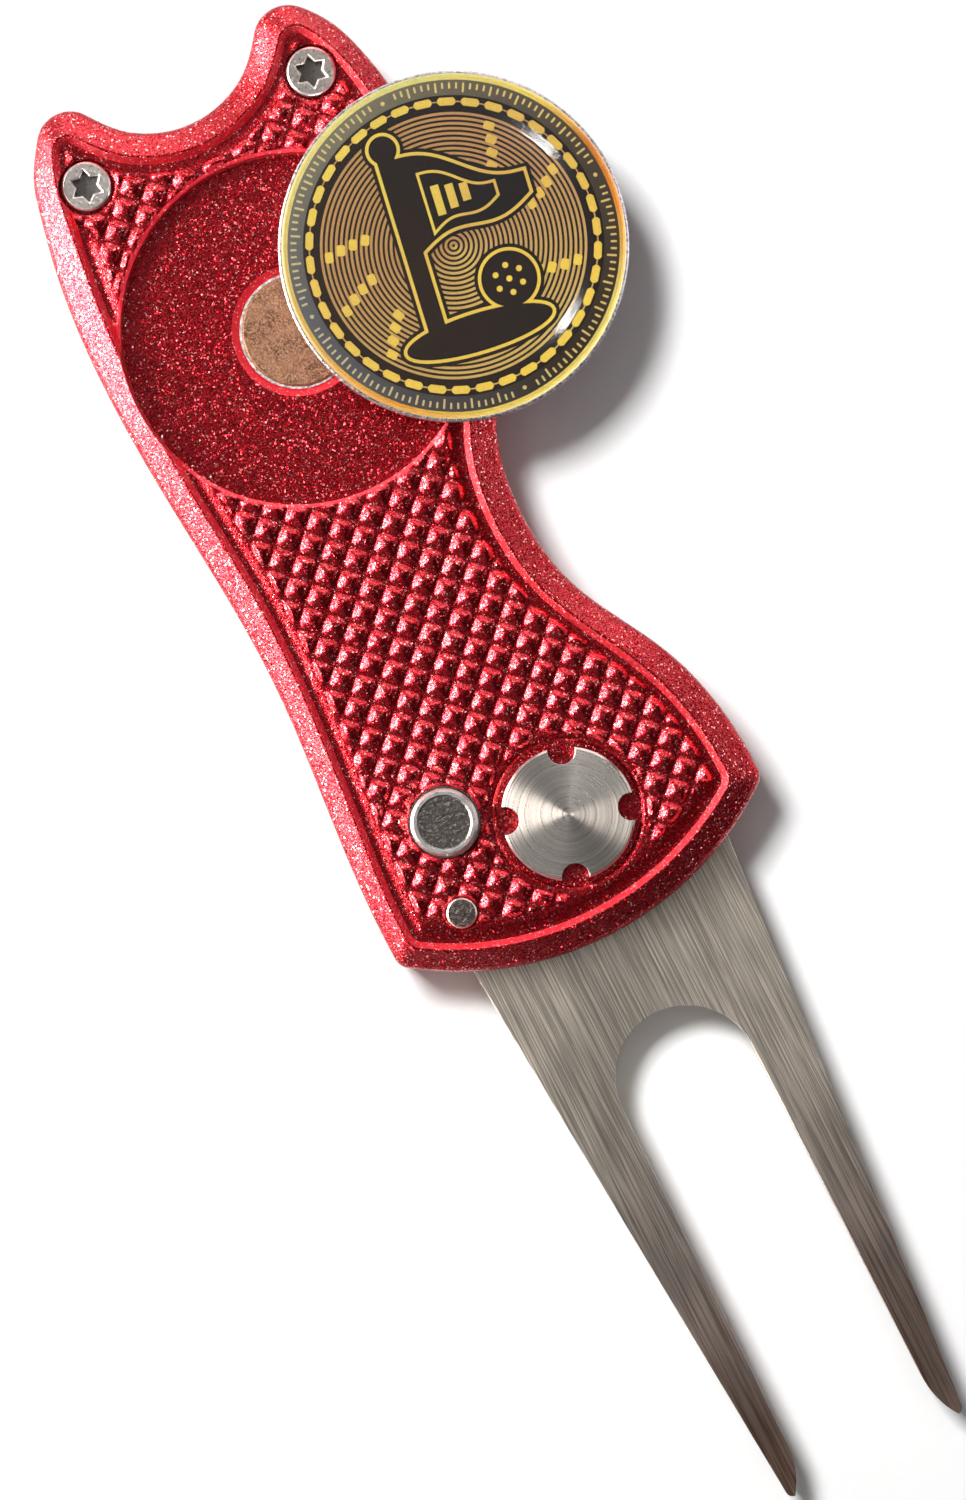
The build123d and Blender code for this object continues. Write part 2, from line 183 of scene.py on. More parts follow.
def red_finish(name, tilt, grain_depth, round_edges):
    """Candy-red metallic paint with a sandy grain, and flakes that tilt to catch the light. Round the
    magnet's lip, on the pocket's wall and on the rim's slope and other steep faces above the panel it
    has a painted highlight: a brighter red, less metallic and rougher."""
    made = Finish(name, Coat_IOR=1.5, Coat_Roughness=0.14)
    grain = made.noise(0.13 * MM, 2)
    fine = made.noise(0.07 * MM, 1)
    cloud = made.noise(4 * MM, 3)
    flake = made.split(made.cells(0.10 * MM))
    bright = made.fit(flake[0], 0.955, 0.975)
    deep = made.mix(cloud, (0.24, 0.001, 0.005), (0.33, 0.002, 0.008))
    lit = made.mix(made.fit(grain, 0.42, 0.66), deep, (0.47, 0.005, 0.013))
    reach, _ = made.polar(centre("marker_magnet"))
    lip = made.between(reach, 4.02 * MM, 4.10 * MM, 4.70 * MM, 4.78 * MM)
    wall = made.between(reach, 12.56 * MM, 12.60 * MM, 12.80 * MM, 12.90 * MM)
    steep = made.split(made.node("NewGeometry").outputs["True Normal"])[2]
    height = made.split(made.place)[2]
    above_panel = made.fit(height, PANEL_Z - 0.10 * MM, PANEL_Z + 0.05 * MM)
    rim = made.maths("MULTIPLY", made.fit(steep, 0.75, 0.55), above_panel)
    front = made.fit(height, 5.8 * MM, 6.0 * MM)
    # Painted highlight: a mask over the lip, the pocket's wall and steep faces above the panel, where
    # the red is painted brighter for the light they catch.
    painted_wall_light = made.maths("MAXIMUM", made.maths("MULTIPLY", made.maths("MAXIMUM", lip, wall), front), rim)
    made.set(Metallic=made.fit(painted_wall_light, 0, 1, 0.97, 0.30))
    # The painted highlight's brighter red.
    lit = made.mix(painted_wall_light, lit, (0.80, 0.014, 0.034))
    made.set(Base_Color=made.mix(bright, lit, (1.0, 0.40, 0.38)))
    rough = made.maths("ADD", made.fit(grain, 0.3, 0.7, 0.22, 0.31), made.maths("MULTIPLY", painted_wall_light, 0.25))
    made.set(Roughness=rough)
    elsewhere = made.stretched((1, 1, 1), (1, 0, 0))    # so the coat's patches miss the grain's
    patchy = made.noise(0.10 * MM, 1, elsewhere)
    made.set(Coat_Weight=made.fit(patchy, 0.45, 0.57, 0.04, 1.0))
    made.relief(
        (grain, grain_depth), (fine, 0.010 * MM),
        round_edges=round_edges, flakes=(0.10 * MM, tilt))
    return made.material


def brushed_finish():
    """Steel brushed along the fork, browner and darker towards the tips."""
    made = Finish("fork_steel", Metallic=1.0, Anisotropic=0.55)
    long_fine = made.noise(1 * MM, 3, made.stretched((9.0, 0.12, 1)), 0.68)
    long_wide = made.noise(1 * MM, 2, made.stretched((3.2, 0.09, 1)))
    patch = made.noise(9 * MM, 3)
    y = made.split(made.place)[1]
    up_fork = made.fit(y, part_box("fork")[0].y, -10 * MM)
    warm = made.ramp(
        up_fork, (0.0, (0.29, 0.18, 0.135)), (0.40, (0.50, 0.41, 0.355)), (1.0, (1.0, 0.90, 0.76)))
    lines = made.ramp(long_fine, (0.40, (0.40, 0.39, 0.39)), (0.64, (1.0, 1.0, 1.0)))
    colour = made.mix(1.0, warm, lines, "MULTIPLY")
    pale = made.fit(long_wide, 0.35, 0.7, 0.0, 0.15)
    made.set(Base_Color=made.mix(pale, colour, (0.62, 0.60, 0.57)))
    made.set(Roughness=made.fit(patch, 0.3, 0.7, 0.30, 0.42))
    along = made.node(
        "VectorTransform", {"Vector": (0, 1, 0)},
        vector_type="VECTOR", convert_from="OBJECT", convert_to="WORLD")
    made.set(Tangent=along.outputs[0])
    made.relief((long_fine, 0.014 * MM), (long_wide, 0.012 * MM), round_edges=0.08 * MM)
    return made.material


def turned_finish(name, node, shade, grooves, anisotropic, rough):
    """Steel with the concentric marks of a lathe about a node's own axis."""
    made = Finish(name, Metallic=1.0, Anisotropic=anisotropic, Anisotropic_Rotation=0.25)
    reach, _ = made.polar(centre(node))

    def across(count, detail):
        line = made.node("CombineXYZ", {"X": made.maths("MULTIPLY", reach, count)}).outputs[0]
        return made.noise(1 * MM, detail, line)

    rings, broad = across(grooves, 2), across(grooves / 3, 3)
    speck = made.noise(0.2 * MM, 2)
    dark, darker = (tuple(share * c for c in shade) for share in (0.78, 0.62))
    tone = made.mix(made.fit(rings, 0.35, 0.65), dark, shade)
    tone = made.mix(made.fit(speck, 0.62, 0.72, 0.0, 0.5), tone, darker)
    made.set(Base_Color=made.mix(made.fit(broad, 0.60, 0.42, 0.0, 0.5), tone, darker))
    made.set(Roughness=made.fit(broad, 0.3, 0.75, rough - 0.03, rough + 0.05))
    made.set(Tangent=made.node("Tangent", direction_type="RADIAL", axis="Z").outputs[0])
    made.relief((rings, 0.0012 * MM), (speck, 0.0006 * MM), round_edges=0.07 * MM)
    return made.material


def worn_finish(name, node, face, edge, edge_from, edge_to, scratches, star=False):
    """A pin's, button's or screw's dull scratched face inside a brighter worn edge, with a bright
    lip round a star recess and painted shade darkening the recess's depths."""
    made = Finish(name, Metallic=1.0)
    reach, _ = made.polar(centre(node))
    speck = made.noise(0.22 * MM, 4, None, 0.7)
    line = made.noise(1 * MM, 3, made.stretched((2.2, 13, 1)), 0.7)
    scratch = made.fit(line, 0.57, 0.66, 0.0, scratches)
    bruise = made.fit(speck, 0.55, 0.68, 0.0, 0.8)
    ground = made.mix(made.maths("MAXIMUM", scratch, bruise), face, edge)
    bare = made.maths("MAXIMUM", made.fit(reach, edge_from, edge_to), made.worn_edges(0.07 * MM))
    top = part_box(node)[1].z
    height = made.split(made.place)[2]
    # Painted shade: inside the face, deeper than 0.25 mm under the top, the colour darkens towards a
    # quarter of the face's.
    painted_depth_shade = made.fit(height, top - 0.6 * MM, top - 0.25 * MM, 0.75, 0.0)
    recess = made.maths("MULTIPLY", painted_depth_shade, made.fit(reach, edge_from, 0.9 * edge_from))
    if star:
        lip = made.between(
            height, top - 0.14 * MM, top - 0.10 * MM, top - 0.02 * MM, top - 0.008 * MM)
        bare = made.maths("MAXIMUM", bare, lip)
    worn = made.mix(bare, ground, edge)
    made.set(Base_Color=made.mix(recess, worn, tuple(0.25 * c for c in face)))
    made.set(Roughness=made.fit(speck, 0.3, 0.7, 0.26, 0.44))
    made.relief((speck, 0.008 * MM), (line, 0.004 * MM), round_edges=0.08 * MM)
    return made.material


def plain_metal(name, dark, light, size, rough, depth=0.01 * MM, detail=3, metallic=1.0):
    """Metal with a grain of one size in its colour, gloss and surface."""
    made = Finish(name, Metallic=metallic)
    grain = made.noise(size, detail, None, 0.6)
    cloud = made.noise(size * 12, 2)
    tone = made.mix(made.fit(cloud, 0.3, 0.7, 0.0, 0.5), dark, light)
    made.set(Base_Color=made.mix(made.fit(grain, 0.35, 0.7), tone, light))
    made.set(Roughness=made.fit(grain, 0.3, 0.7, rough - 0.06, rough + 0.1))
    made.relief((grain, depth), round_edges=0.06 * MM)
    return made.material


def glue_finish():
    """Ragged dry glue, with painted shade dark in its hollows."""
    made = Finish("glue", Coat_Weight=0.4, Coat_Roughness=0.15)
    lump = made.noise(0.3 * MM, 4, None, 0.7)
    # Painted shade: the low parts of the lumps, which are also the bumps' hollows, are painted dark.
    made.set(Base_Color=made.ramp(
        lump, (0.35, (0.16, 0.13, 0.12)), (0.55, (0.60, 0.57, 0.54)), (0.7, (0.95, 0.95, 0.95))))
    made.set(Roughness=made.fit(lump, 0.3, 0.7, 0.25, 0.6))
    made.relief((lump, 0.12 * MM))
    return made.material


def ink_finish(name, *stops):
    """Printed colour that shifts round the marker, with a faint press grain."""
    made = Finish(name, Specular_IOR_Level=0.06)
    _, angle = made.polar(centre("marker_print"))
    around = made.fit(angle, -math.pi, math.pi, 0.0, 1.0, smooth=False)
    grain = made.noise(0.12 * MM, 2)
    tone = made.ramp(around, *stops)
    made.set(Base_Color=made.mix(made.fit(grain, 0.3, 0.8, 0.0, 0.18), tone, (0.04, 0.02, 0.0)))
    made.set(Roughness=made.fit(grain, 0.3, 0.7, 0.5, 0.65))
    made.relief((grain, 0.002 * MM))
    return made.material


def dome_finish():
    """Clear poured resin that lets lamps through to the print."""
    made = Finish("marker_dome", IOR=1.5, Transmission_Weight=1.0)
    reach, _ = made.polar(centre("marker_dome"))
    made.set(Roughness=made.fit(reach, 11.9 * MM, 12.2 * MM, 0.07, 0.5))
    ripple = made.noise(6 * MM, 1)
    tint = made.noise(3 * MM, 2)
    made.set(Base_Color=made.mix(tint, (0.97, 0.965, 0.94), (1.0, 1.0, 0.99)))
    made.relief((ripple, 0.01 * MM))
    clear = made.node("BsdfTransparent")
    lamps = made.node("LightPath").outputs["Is Shadow Ray"]
    both = made.node("MixShader", {0: lamps, 1: made.shader.outputs[0], 2: clear.outputs[0]})
    made.tree.links.new(both.outputs[0], made.tree.nodes["Material Output"].inputs["Surface"])
    return made.material


RED = red_finish("handle_red", 0.9, 0.036 * MM, 0.14 * MM)
GRIP_RED = red_finish("grip_red", 0.6, 0.020 * MM, None)
# The gold's colours round the marker, from the tool's left by way of the fork's end.
GOLD_STOPS = (
    (0.00, (0.37, 0.24, 0.05)), (0.12, (0.41, 0.18, 0.02)), (0.22, (0.44, 0.33, 0.06)),
    (0.38, (0.43, 0.35, 0.09)), (0.47, (0.42, 0.15, 0.015)), (0.53, (0.31, 0.10, 0.01)),
    (0.60, (0.44, 0.34, 0.07)), (0.72, (0.40, 0.37, 0.12)), (0.86, (0.41, 0.35, 0.11)),
    (1.00, (0.37, 0.24, 0.05)),
)
finishes = {
    "front_shell": RED,
    "back_shell": RED,
    "fork": brushed_finish(),
    "pivot_disc": turned_finish("turned_steel", "pivot_disc", (0.70, 0.635, 0.58), 16, 0.92, 0.285),
    "pivot_barrel": turned_finish("barrel_steel", "pivot_barrel", (0.62, 0.61, 0.60), 12, 0.4, 0.26),
    "pivot_washer": plain_metal(
        "washer_brass", (0.45, 0.30, 0.10), (0.80, 0.60, 0.25), 0.3 * MM, 0.3),
    "torsion_spring": plain_metal(
        "spring_steel", (0.25, 0.24, 0.23), (0.6, 0.59, 0.57), 0.15 * MM, 0.28),
    "button_spring": plain_metal(
        "return_spring_steel", (0.3, 0.29, 0.27), (0.65, 0.63, 0.6), 0.1 * MM, 0.28),
    "release_button": worn_finish(
        "button_steel", "release_button", (0.13, 0.112, 0.105), (0.58, 0.54, 0.52),
        1.92 * MM, 1.98 * MM, 0.6),
    "stop_pin": worn_finish(
        "pin_steel", "stop_pin", (0.11, 0.085, 0.075), (0.72, 0.64, 0.58),
        0.98 * MM, 1.04 * MM, 1.0),
    "shell_screw_left": worn_finish(
        "screw_steel", "shell_screw_left", (0.50, 0.455, 0.425), (0.86, 0.82, 0.79),
        1.60 * MM, 1.68 * MM, 0.2, star=True),
    "shell_screw_right": worn_finish(
        "screw_steel_right", "shell_screw_right", (0.42, 0.37, 0.34), (0.82, 0.78, 0.74),
        1.60 * MM, 1.68 * MM, 0.2, star=True),
    "marker_magnet": plain_metal(
        "magnet", (0.11, 0.046, 0.024), (0.43, 0.22, 0.125), 0.12 * MM, 0.40, 0.026 * MM, 2, 0.6),
    "magnet_glue": glue_finish(),
    "marker_blank": plain_metal(
        "marker_steel", (0.32, 0.29, 0.31), (0.68, 0.64, 0.66), 0.25 * MM, 0.25, 0.005 * MM),
    "marker_print": ink_finish("marker_print", *GOLD_STOPS),
    "marker_dome": dome_finish(),
}
for name, finish in finishes.items():
    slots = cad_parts[name].data.materials
    slots.clear()
    slots.append(finish)


# ---- new pieces ------------------------------------------------------------------------------
def add_piece(name, verts, faces, material, body, smooth=False):
    """A new mesh piece that rides on a CAD body."""
    mesh = bpy.data.meshes.new(name)
    mesh.from_pydata(verts, [], faces)
    mesh.validate()
    if smooth:
        mesh.shade_smooth()
    mesh.materials.append(material)
    piece = bpy.data.objects.new(name, mesh)
    bpy.context.scene.collection.objects.link(piece)
    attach(piece, body)
    return piece


# ---- grip panels -----------------------------------------------------------------------------
KNURL_PITCH = 1.687 * MM               # along the lattice's two diagonals
KNURL_BASE = 1.50 * MM                 # side of one bump
KNURL_AT = (0.6 * MM, 7.5 * MM)        # one bump's centre
KNURL_STEPS = 12                       # mesh cells across one pitch
DIAGONAL = math.sqrt(0.5)


def flat_floor(node, z, facing):
    """A CAD node's flat faces at a height, as a bmesh whose border edges are the floor's outlines."""
    floor = bmesh.new()
    floor.from_mesh(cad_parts[node].data)
    bmesh.ops.remove_doubles(floor, verts=floor.verts, dist=1e-7)
    floor.normal_update()
    tolerance = 3e-6
    others = [
        f for f in floor.faces
        if f.normal.z * facing < 0.9 or any(abs(v.co.z - z) > tolerance for v in f.verts)
    ]
    bmesh.ops.delete(floor, geom=others, context="FACES")
    floor.verts.index_update()
    return floor


def lattice_points(low, high):
    """Points of the knurl's own fine grid inside a box, one to each row of (x, y)."""
    step = KNURL_PITCH / KNURL_STEPS
    reach = math.hypot(*(high - low)) / 2 + step
    middle = (low + high) / 2
    offset = middle - KNURL_AT
    start = np.array([(offset[0] + offset[1]) * DIAGONAL, (offset[1] - offset[0]) * DIAGONAL])
    spans = []
    for at in start:
        first, last = math.floor((at - reach) / step), math.ceil((at + reach) / step)
        spans.append(np.arange(first, last + 1) * step)
    u, v = np.meshgrid(*spans)
    x, y = (u - v) * DIAGONAL + KNURL_AT[0], (u + v) * DIAGONAL + KNURL_AT[1]
    points = np.stack([x, y], -1).reshape(-1, 2)
    return points[((points > low) & (points < high)).all(1)]


def nearest_on(starts, ends, points):
    """(distance from each point to the nearest segment, unit vector towards it)."""
    along = ends - starts
    square = (along**2).sum(1)
    best = np.empty(len(points))
    toward = np.empty((len(points), 2))
    for i in range(0, len(points), 4000):
        part = points[i : i + 4000, None]
        t = (((part - starts) * along).sum(2) / square).clip(0, 1)
        gap = starts + t[..., None] * along - part
        size = np.sqrt((gap**2).sum(2))
        pick = size.argmin(1)
        rows = np.arange(len(pick))
        best[i : i + 4000] = size[rows, pick]
        toward[i : i + 4000] = gap[rows, pick] / np.maximum(size[rows, pick], 1e-9)[:, None]
    return best, toward


def inside(starts, ends, points):
    """True for each point that the outlines hold, by counting the borders to its right."""
    held = np.zeros(len(points), bool)
    for (x0, y0), (x1, y1) in zip(starts, ends):
        if y0 == y1:
            continue
        spans = (points[:, 1] < y0) != (points[:, 1] < y1)
        crossing = x0 + (points[:, 1] - y0) * (x1 - x0) / (y1 - y0)
        held ^= spans & (points[:, 0] < crossing)
    return held


def smooth_step(value, low, high):
    t = ((value - low) / (high - low)).clip(0, 1)
    return t * t * (3 - 2 * t)


def knurl(points):
    """Height of the bumps from 0 to 1: rounded pyramids on square bases."""
    x, y = (points - KNURL_AT).T
    cells = np.stack([(x + y) * DIAGONAL, (y - x) * DIAGONAL], -1) / KNURL_PITCH
    local = np.abs(cells - np.round(cells)) * KNURL_PITCH / (KNURL_BASE / 2)
    edge = (local**5).sum(1) ** (1 / 5)
    return 1 - np.minimum(edge, 1) ** 2.1


def grip(name, node, floor_z, facing, plateau, top, features):
    """A panel on a CAD node's flat floor that rises from its rim to a plateau, with knurled bumps
    from there up to top. It is clear of the round features, given as node: how much plain ground
    is left round its hole."""
    floor = flat_floor(node, floor_z, facing)
    border = [e for e in floor.edges if len(e.link_faces) == 1]
    corners = np.array([v.co[:2] for v in floor.verts])
    starts = np.array([e.verts[0].co[:2] for e in border])
    ends = np.array([e.verts[1].co[:2] for e in border])
    rim = np.ones(len(border), bool)
    holes = []
    for feature, lip in features.items():
        at = np.array(centre(feature)[:2])
        radius = np.hypot(*(corners - at).T).min()
        holes.append((at, radius, lip))
        for end in (starts, ends):
            rim &= np.hypot(*(end - at).T) > radius + 0.02 * MM

    def height(points):
        gap, toward = nearest_on(starts[rim], ends[rim], points)
        # The plain ground along the rim is wider at the left and towards the fork.
        margin = 0.90 * MM - 0.20 * MM * toward[:, 0] - 0.50 * MM * toward[:, 1].clip(-1, 0.4)
        rise = smooth_step(gap, 0.18 * MM, 1.15 * MM)
        share = smooth_step(gap, margin, margin + 0.25 * MM)
        edge = np.ones(len(points))
        for at, radius, lip in holes:
            clear = np.hypot(*(points - at).T) - radius
            share *= smooth_step(clear, lip, lip + 0.22 * MM)
            edge *= 0.62 + 0.38 * smooth_step(clear, 0, 0.14 * MM)
        ground = 0.015 * MM + plateau * rise * edge
        return ground + share * (top - ground) * knurl(points)

    points = lattice_points(corners.min(0), corners.max(0))
    points = points[inside(starts, ends, points)]
    points = points[nearest_on(starts, ends, points)[0] > 0.05 * MM]
    everything = np.concatenate([corners, points])
    lines = [(e.verts[0].index, e.verts[1].index) for e in border]
    flat = [Vector(p / MM) for p in everything]
    spots, _, triangles, origins, _, _ = delaunay_2d_cdt(flat, lines, [], 0, 1e-5)
    spots = np.array(spots) * MM
    triangles = np.array(triangles)
    triangles = triangles[inside(starts, ends, spots[triangles].mean(1))]
    crown = [(x, y, floor_z + facing * z) for (x, y), z in zip(spots, height(spots))]
    base_z = floor_z - facing * 0.01 * MM
    base = [(x, y, base_z) for x, y in corners]
    top_of = {old: new for new, olds in enumerate(origins) for old in olds}
    order = 1 if facing > 0 else -1
    faces = [tuple(int(i) for i in t)[::order] for t in triangles]
    first = len(crown)
    for f in floor.faces:
        faces.append(tuple(first + v.index for v in reversed(f.verts)))
    for e in border:
        loop = e.link_loops[0]
        a, b = loop.vert.index, loop.link_loop_next.vert.index
        faces.append((first + a, first + b, top_of[b], top_of[a]))
    floor.free()
    return add_piece(name, crown + base, faces, GRIP_RED, "handle", smooth=True)


def smooth_by_angle(piece, degrees):
    """Smooth shading, with edges sharper than that angle kept sharp."""
    mesh = piece.data
    work = bmesh.new()
    work.from_mesh(mesh)
    for edge in work.edges:
        sharp = len(edge.link_faces) != 2 or edge.calc_face_angle(0) > math.radians(degrees)
        edge.smooth = not sharp
    work.to_mesh(mesh)
    work.free()


front_grip = grip(
    "front_grip", "front_shell", PANEL_Z, 1, 0.22 * MM, 0.65 * MM,
    {
        "pivot_disc": 0.42 * MM, "release_button": 0.02 * MM, "stop_pin": 0.02 * MM,
        "shell_screw_left": 0.20 * MM, "shell_screw_right": 0.20 * MM, "marker_magnet": 0.20 * MM,
    },
)
# The back's is shallower, and leaves its two smooth pads clear.
back_grip = grip(
    "back_grip", "back_shell", BACK_PANEL_Z, -1, 0.12 * MM, 0.38 * MM,
    {"pivot_disc": 0.35 * MM, "marker_magnet": 0.35 * MM},
)
for panel in (front_grip, back_grip):
    smooth_by_angle(panel, 60)


# ---- the marker's printed face ---------------------------------------------------------------
FACE = centre("marker_print")
FACE_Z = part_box("marker_print")[1].z
LAYER = 0.015 * MM                     # thickness of one printed layer
FIGURE_TURN = math.radians(-9.6)       # the figure's up, from the tool's own axis
# Distances on the face are in mm from its centre.
BAND_OUT = 12.2
RING_OUT, RING_IN = 11.8, 10.7         # the grey ring
RING_AT = (RING_IN + RING_OUT) / 2
TICKS, TICKS_TO_DOT = 144, 36          # small marks on the ring, with a dot for every 36th
DASH_AT, DASHES = 10.25, 38
LINE_OUT, LINE_PITCH, LINE_WIDTH, LINES = 9.5, 0.354, 0.19, 27
SPOKES = (2, 38, 150, 176, 205, 318)   # where rows of chips start, in degrees


class Print:
    """Thin flat shapes gathered into one piece, each given in mm from the marker's centre."""

    def __init__(self):
        self.verts, self.faces = [], []

    def shape(self, points, layer):
        """A plate with that outline, anticlockwise, whose top is so many layers up."""
        first, count = len(self.verts), len(points)
        for z in (FACE_Z + 0.2 * LAYER, FACE_Z + layer * LAYER):
            for x, y in points:
                self.verts.append((FACE.x + x * MM, FACE.y + y * MM, z))
        self.faces.append([first + i for i in reversed(range(count))])
        self.faces.append([first + count + i for i in range(count)])
        for i in range(count):
            j = (i + 1) % count
            self.faces.append((first + i, first + j, first + count + j, first + count + i))

    def ring(self, inner, outer, layer, steps=120):
        """A whole ring, or a disc if inner is 0."""
        if not inner:
            return self.shape([at(outer, 360 * i / steps) for i in range(steps)], layer)
        first = len(self.verts)
        for z in (FACE_Z + 0.2 * LAYER, FACE_Z + layer * LAYER):
            for reach in (inner, outer):
                for i in range(steps):
                    x, y = at(reach, 360 * i / steps)
                    self.verts.append((FACE.x + x * MM, FACE.y + y * MM, z))
        low_in, low_out, top_in, top_out = (first + steps * k for k in range(4))
        for i in range(steps):
            j = (i + 1) % steps
            self.faces.append((top_in + i, top_out + i, top_out + j, top_in + j))
            self.faces.append((low_out + i, low_in + i, low_in + j, low_out + j))
            self.faces.append((low_out + i, low_out + j, top_out + j, top_out + i))
            self.faces.append((low_in + j, low_in + i, top_in + i, top_in + j))

    def chip(self, reach, degrees, deep, wide, layer, corner=0.12):
        """A rounded rectangle at a distance and angle, deep along the radius and wide across it."""
        a, b = deep / 2, wide / 2
        outline = [
            (a - corner, -b), (a, -b + corner), (a, b - corner), (a - corner, b),
            (corner - a, b), (-a, b - corner), (-a, corner - b), (corner - a, -b),
        ]
        self.shape(placed(outline, (reach, 0), degrees), layer)

    def piece(self, name, finish):
        return add_piece(name, self.verts, self.faces, finish, "marker")


def at(reach, degrees):
    return (reach * math.cos(math.radians(degrees)), reach * math.sin(math.radians(degrees)))


def placed(points, offset, degrees):
    """The points moved by offset, then turned about the centre."""
    c, s = at(1, degrees)
    made = []
    for x, y in points:
        x, y = x + offset[0], y + offset[1]
        made.append((c * x - s * y, s * x + c * y))
    return made


def grown(points, by):
    """An anticlockwise outline moved outwards, with its corners mitred."""
    corners = np.array(points)
    ahead = np.roll(corners, -1, 0) - corners
    ahead /= np.hypot(*ahead.T)[:, None]
    out = np.stack([ahead[:, 1], -ahead[:, 0]], -1)
    before = np.roll(out, 1, 0)
    mitre = (out + before) / np.maximum(1 + (out * before).sum(1), 0.45)[:, None]
    return [tuple(p) for p in corners + by * mitre]


def oval(x, y, a, b, steps=48):
    turns = [2 * math.pi * i / steps for i in range(steps)]
    return [(x + a * math.cos(turn), y + b * math.sin(turn)) for turn in turns]


def pennant(left, top, length, height, wave, steps=20):
    """A waving flag from its pole to a blunt tip."""
    lower, upper = [], []
    for i in range(steps + 1):
        t = i / steps
        lift = wave * math.sin(2 * math.pi * t)
        half = height / 2 * (1 - 0.78 * t)
        middle = top - height / 2 - 0.10 * height * t
        lower.append((left + length * t, middle - half + lift))
        upper.append((left + length * t, middle + half + lift))
    return lower + upper[::-1]


# A golf flag in its hole with a ball beside it: the hole, pole, flag, ball and finial.
BALL_AT = (3.3, -3.3)
FIGURE = [
    oval(0.2, -6.3, 5.4, 1.35),
    [(-3.3, -6.4), (-2.0, -6.4), (-2.0, 8.0), (-3.3, 8.0)],
    pennant(-2.1, 7.2, 8.6, 7.0, 0.5),
    oval(*BALL_AT, 2.0, 2.0),
    oval(-2.65, 8.05, 1.0, 1.0),
]


def on_face(points):
    """A part of the figure's points, turned to its place on the marker."""
    return placed(points, (-0.2, -0.1), math.degrees(FIGURE_TURN))


ground, lines, chips, grey, band, ticks = (Print() for _ in range(6))
ground.ring(0, RING_OUT + 0.05, 1)
band.ring(RING_OUT, BAND_OUT, 2)
grey.ring(RING_IN, RING_OUT, 2)
for k in range(LINES):
    reach = LINE_OUT - k * LINE_PITCH
    lines.ring(reach - LINE_WIDTH, reach, 2)
for k in range(DASHES):
    chips.chip(DASH_AT, 360 * k / DASHES, 0.56, 1.28, 3, 0.16)
lines.ring(DASH_AT - 0.05, DASH_AT + 0.05, 2)
for k in range(TICKS):
    degrees = 360 * k / TICKS
    if k % TICKS_TO_DOT == 0:
        ticks.chip(RING_AT, degrees, 0.3, 0.3, 3, 0.1)
    elif k % TICKS_TO_DOT not in (1, TICKS_TO_DOT - 1):
        shift, deep = (0, 0.70) if k % 4 == 0 else (0.12, 0.44)
        ticks.chip(RING_AT + shift, degrees, deep, 0.15, 3, 0.04)
for spoke in SPOKES:
    for k in range(4):
        chips.chip(6.3 + 0.86 * k, spoke + 3 * k, 0.60, 0.78, 2.7, 0.1)

veil, outline, figure, detail, window = (Print() for _ in range(5))
for k, points in enumerate(FIGURE):
    veil.shape(grown(on_face(points), 0.50), 3.2 + 0.3 * k)
    outline.shape(grown(on_face(points), 0.24), 4.6 + 0.3 * k)
    figure.shape(on_face(points), 6 + 0.3 * k)
pane = pennant(-0.7, 5.6, 4.9, 4.1, 0.3)
detail.shape(grown(on_face(pane), 0.2), 7.4)
window.shape(on_face(pane), 7.9)
for k in range(3):
    x = -0.2 + 1.0 * k
    low, high = 2.4 + 0.25 * k, 4.6 - 0.2 * k
    detail.shape(on_face([(x, low), (x + 0.6, low), (x + 0.6, high), (x, high)]), 8.4)
for k in range(7):
    x, y = at(1.0 if k else 0.0, 60 * k + 30)
    detail.shape(on_face(oval(BALL_AT[0] + x, BALL_AT[1] + y, 0.22, 0.22, 12)), 7.5)

BLACK_INK = ink_finish(
    "black_ink", (0.0, (0.012, 0.006, 0.004)), (0.6, (0.004, 0.004, 0.006)),
    (1.0, (0.012, 0.006, 0.004)))
LINE_INK = ink_finish(
    "line_ink", (0.0, (0.30, 0.17, 0.065)), (0.3, (0.42, 0.29, 0.08)), (0.55, (0.30, 0.16, 0.07)),
    (0.8, (0.30, 0.17, 0.06)), (1.0, (0.30, 0.17, 0.065)))
CHIP_INK = ink_finish(
    "chip_ink", (0.0, (0.48, 0.33, 0.06)), (0.35, (0.56, 0.40, 0.05)), (0.6, (0.44, 0.28, 0.06)),
    (0.8, (0.50, 0.38, 0.06)), (1.0, (0.48, 0.33, 0.06)))
GREY_INK = ink_finish(
    "grey_ink", (0.0, (0.06, 0.062, 0.07)), (0.3, (0.016, 0.011, 0.007)), (0.55, (0.04, 0.03, 0.022)),
    (0.8, (0.11, 0.10, 0.07)), (1.0, (0.06, 0.062, 0.07)))
TICK_INK = ink_finish(
    "tick_ink", (0.0, (0.30, 0.27, 0.17)), (0.4, (0.44, 0.31, 0.10)), (0.8, (0.38, 0.32, 0.12)),
    (1.0, (0.30, 0.27, 0.17)))
ground.piece("marker_ground", BLACK_INK)
band.piece("marker_band", ink_finish("band_ink", *GOLD_STOPS))
grey.piece("marker_ring", GREY_INK)
ticks.piece("marker_ticks", TICK_INK)
lines.piece("marker_lines", LINE_INK)
chips.piece("marker_chips", CHIP_INK)
veil.piece("marker_veil", BLACK_INK)
outline.piece("marker_outline", CHIP_INK)
figure.piece("marker_figure", BLACK_INK)
detail.piece("marker_detail", CHIP_INK)
window.piece("marker_window", BLACK_INK)


# ---- floor, camera and lights ----------------------------------------------------------------
def paper_finish():
    """Plain pale paper."""
    made = Finish("paper", Roughness=0.9, Specular_IOR_Level=0.1)
    grain = made.noise(0.8 * MM, 3)
    made.set(Base_Color=made.mix(grain, (0.90, 0.90, 0.90), (0.93, 0.93, 0.93)))
    return made.material


